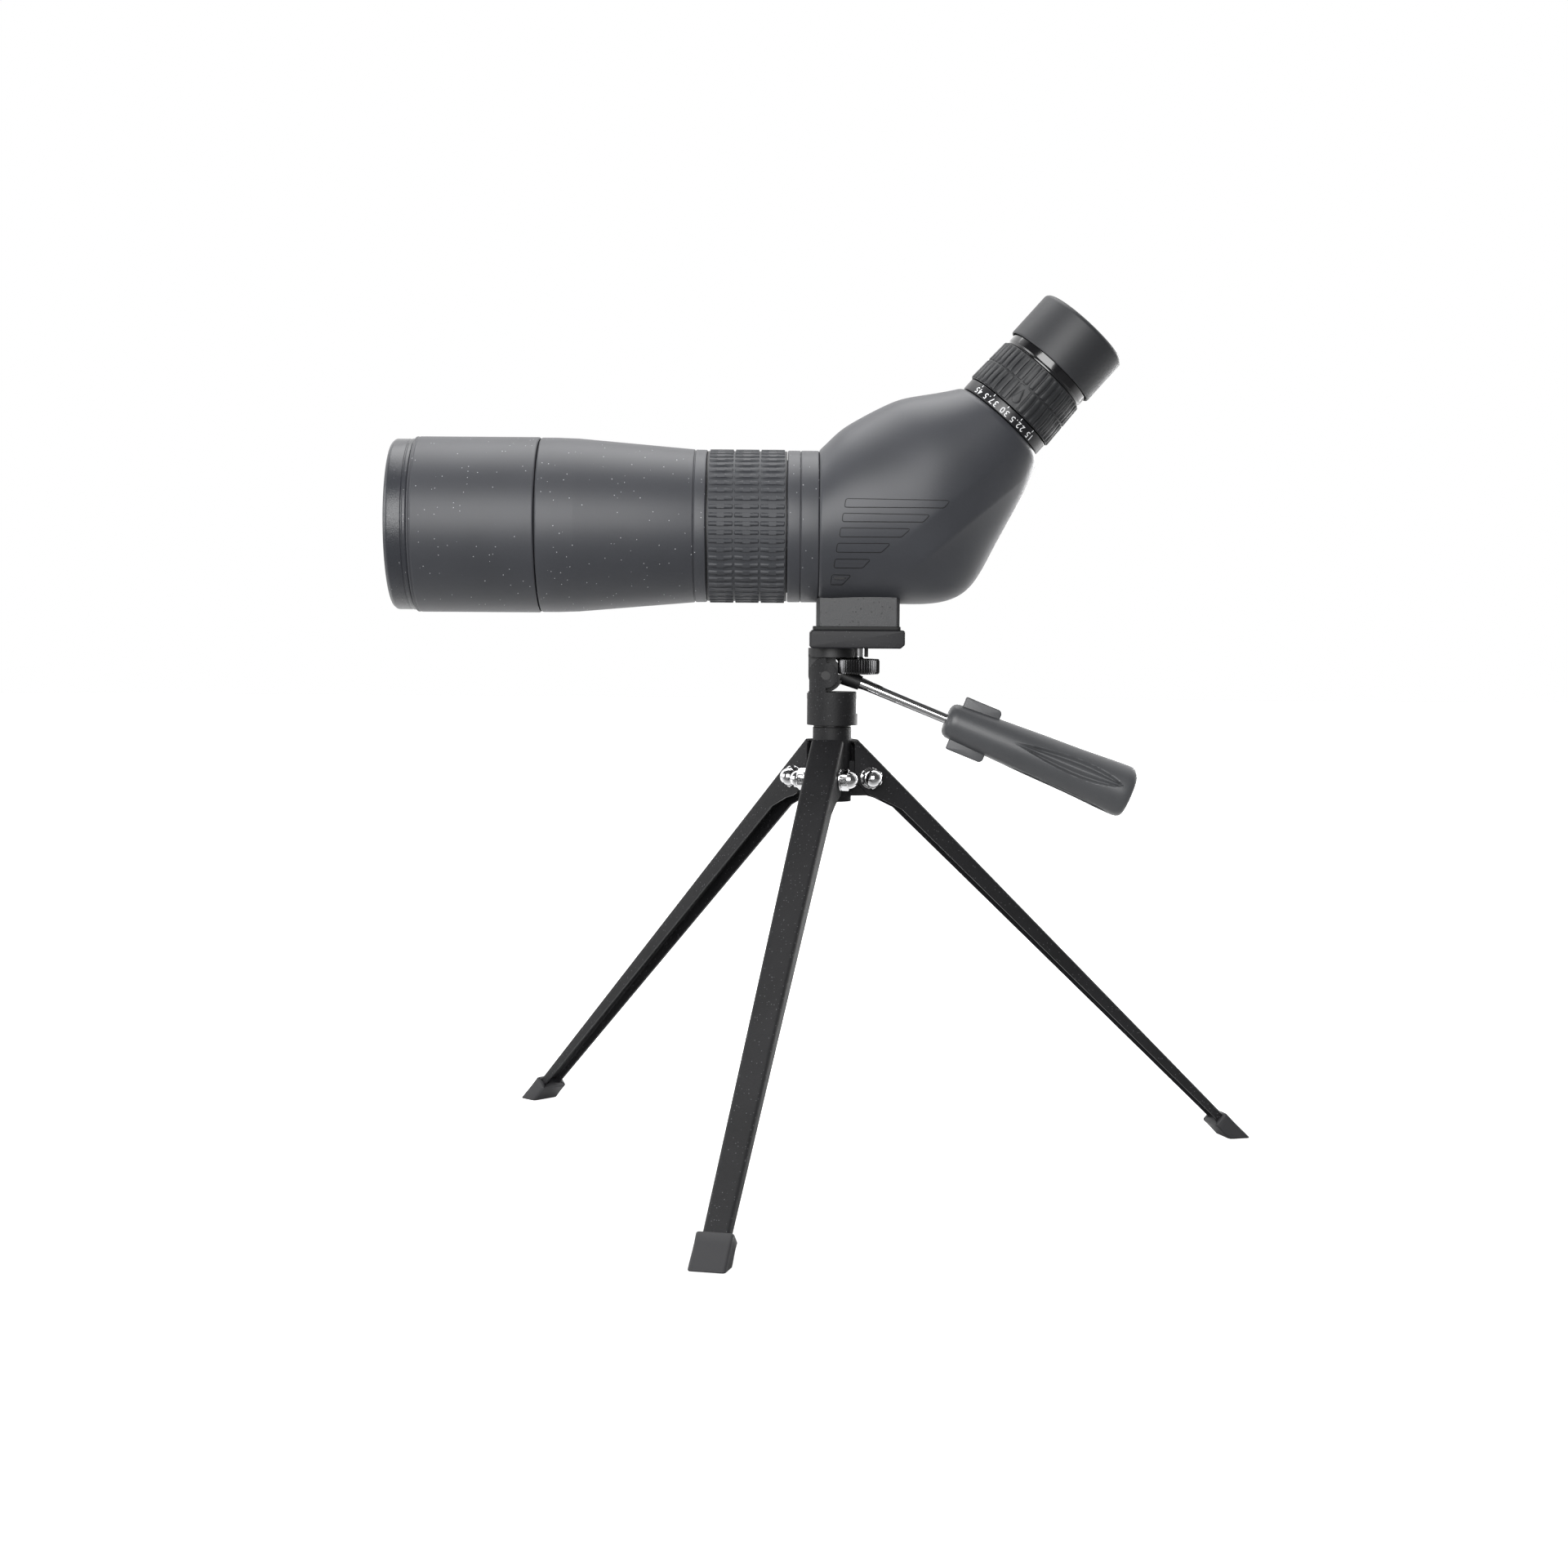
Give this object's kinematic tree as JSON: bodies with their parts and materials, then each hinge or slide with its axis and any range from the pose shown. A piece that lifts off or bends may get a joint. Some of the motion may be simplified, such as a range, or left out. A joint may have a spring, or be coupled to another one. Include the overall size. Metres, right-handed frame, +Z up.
{
  "type": "spotting scope",
  "caption": "Angled spotting scope with sliding sunshade, barrel focus ring and zoom eyepiece, on a small folding table tripod with a pan and tilt head.",
  "frame": {"origin": "on the floor plane, below the middle of the whole object's bounding box", "axes": "+Z up. The optical axis lies along X, with the objective towards -X and the eyepiece rising towards +X. +Y is away from the side with the zoom numbers"},
  "size_m": [0.3774, 0.3348, 0.3691],
  "materials": {
    "scope_coating": "satin grey armour coat with fine speckle",
    "foot_coating": "coarse pitted black coat",
    "grip_rubber": "ribbed dark grey rubber",
    "eyecup_rubber": "matte dark rubber",
    "seal_rubber": "black seal",
    "scale_black": "near-black satin with white figures",
    "neck_black": "gloss black",
    "tube_metal": "blackened aluminium",
    "sleeve_plastic": "black bearing plastic",
    "optical_glass": "coated optical glass",
    "spring_steel": "spring steel",
    "fastener_steel": "plain steel",
    "brass": "turned brass",
    "head_black": "black textured powder coat",
    "knob_black": "black knurled",
    "bright_chrome": "bright plating",
    "pad_rubber": "black sheet rubber",
    "foot_rubber": "black moulded rubber",
    "handle_plastic": "satin black plastic"
  },
  "bodies": {
    "tripod_hub": {"leg_hub": "head_black", "pivot_studs": "fastener_steel", "pivot_washers": "bright_chrome", "cap_nuts": "bright_chrome", "pan_washer": "sleeve_plastic"},
    "leg_right": {"leg_right": "head_black", "foot_right": "foot_rubber"},
    "leg_left": {"leg_left": "head_black", "foot_left": "foot_rubber"},
    "leg_front": {"leg_front": "head_black", "foot_front": "foot_rubber"},
    "pan": {"pan_base": "head_black", "tilt_pin": "fastener_steel", "pan_bolt": "fastener_steel"},
    "tilt": {"tilt_head": "head_black", "camera_plate": "head_black", "plate_pad": "pad_rubber", "plate_screws": "fastener_steel"},
    "handle": {"handle_rod": "bright_chrome", "handle_grip": "handle_plastic"},
    "screw": {"camera_screw": "bright_chrome", "screw_knob": "knob_black"},
    "scope": {"main_barrel": "scope_coating", "objective_tube": "tube_metal", "objective_cell": "tube_metal", "objective_crown_lens": "optical_glass", "objective_flint_lens": "optical_glass", "objective_retaining_ring": "tube_metal", "sunshade_seal": "seal_rubber", "focus_guide_tube": "tube_metal", "coupling_ring": "scope_coating", "prism_housing": "scope_coating", "roof_prism": "optical_glass", "prism_cage": "tube_metal", "prism_strap": "spring_steel", "mounting_foot": "foot_coating", "foot_insert": "brass", "foot_screws": "fastener_steel", "eyepiece_socket": "tube_metal", "scale_sleeve": "scale_black", "eyepiece_tube": "tube_metal", "eyepiece_neck": "neck_black", "eye_lens_cell": "tube_metal", "eye_lens_inner": "optical_glass", "eye_lens_outer": "optical_glass"},
    "sunshade": {"sunshade": "scope_coating", "front_bezel_ring": "scope_coating"},
    "focus_ring": {"focus_ring": "tube_metal", "focus_grip": "grip_rubber"},
    "focus_carriage": {"focus_carriage": "tube_metal", "focusing_lens": "optical_glass", "focus_follower_pins": "fastener_steel"},
    "zoom_ring": {"zoom_ring": "tube_metal", "zoom_grip": "grip_rubber"},
    "field_group": {"field_cell": "tube_metal", "field_lens": "optical_glass"},
    "zoom_group": {"zoom_cell": "tube_metal", "zoom_lens": "optical_glass"},
    "eyecup": {"eyecup_sleeve": "sleeve_plastic", "eyecup": "eyecup_rubber"}
  },
  "joints": [
    {"name": "leg_right_fold", "type": "hinge", "parent": "tripod_hub", "child": "leg_right", "pos_m": [0.01197, 0.02984, 0.1648], "axis": [-0.2782, 0.9605, 0], "range_deg": [0, 45.7]},
    {"name": "leg_left_fold", "type": "hinge", "parent": "tripod_hub", "child": "leg_left", "pos_m": [-0.01342, 0.0361, 0.1648], "axis": [-0.6928, -0.7212, 0], "range_deg": [0, 45.7]},
    {"name": "leg_front_fold", "type": "hinge", "parent": "tripod_hub", "child": "leg_front", "pos_m": [-0.00615, 0.01098, 0.1648], "axis": [0.9709, -0.2394, 0], "range_deg": [0, 45.7]},
    {"name": "pan_turn", "type": "hinge", "parent": "tripod_hub", "child": "pan", "pos_m": [-0.00253, 0.02564, 0.19], "axis": [0, 0, 1], "continuous": true},
    {"name": "tilt", "type": "hinge", "parent": "pan", "child": "tilt", "pos_m": [-0.00553, 0.02564, 0.2086], "axis": [0, 1, 0], "range_deg": [-30, 18]},
    {"name": "handle_twist", "type": "hinge", "parent": "tilt", "child": "handle", "pos_m": [-0.00253, 0.02564, 0.2099], "axis": [0.9272, 0, -0.3746], "range_deg": [-180, 90]},
    {"name": "camera_screw_turn", "type": "hinge", "parent": "tilt", "child": "screw", "pos_m": [0.00857, 0.02564, 0.212], "axis": [0, 0, 1], "continuous": true},
    {"name": "scope_swivel", "type": "hinge", "parent": "tilt", "child": "scope", "pos_m": [0.00857, 0.02564, 0.2293], "axis": [0, 0, 1], "continuous": true},
    {"name": "sunshade_slide", "type": "slide", "parent": "scope", "child": "sunshade", "axis": [-1, 0, 0], "range_m": [0, 0.035]},
    {"name": "focus_turn", "type": "hinge", "parent": "scope", "child": "focus_ring", "pos_m": [-0.03913, 0.02564, 0.2713], "axis": [1, 0, 0], "range_deg": [-150, 150]},
    {"name": "focus_travel", "type": "slide", "parent": "scope", "child": "focus_carriage", "axis": [1, 0, 0], "range_m": [-0.006, 0.006]},
    {"name": "zoom_turn", "type": "hinge", "parent": "scope", "child": "zoom_ring", "pos_m": [0.07797, 0.02564, 0.32787], "axis": [0.6691, 0, 0.7431], "range_deg": [-42.8, 42.8]},
    {"name": "field_group_travel", "type": "slide", "parent": "scope", "child": "field_group", "axis": [0.6691, 0, 0.7431], "range_m": [-0.0031, 0.0031]},
    {"name": "zoom_group_travel", "type": "slide", "parent": "scope", "child": "zoom_group", "axis": [0.6691, 0, 0.7431], "range_m": [-0.0046, 0.0046]},
    {"name": "eyecup_slide", "type": "slide", "parent": "scope", "child": "eyecup", "axis": [-0.6691, 0, -0.7431], "range_m": [0, 0.004]}
  ],
  "couplings": [
    {"joint": "focus_travel", "follows": "focus_turn", "m_per_rad": 0.0022},
    {"joint": "field_group_travel", "follows": "zoom_turn", "m_per_rad": 0.004},
    {"joint": "zoom_group_travel", "follows": "zoom_turn", "m_per_rad": -0.006}
  ]
}
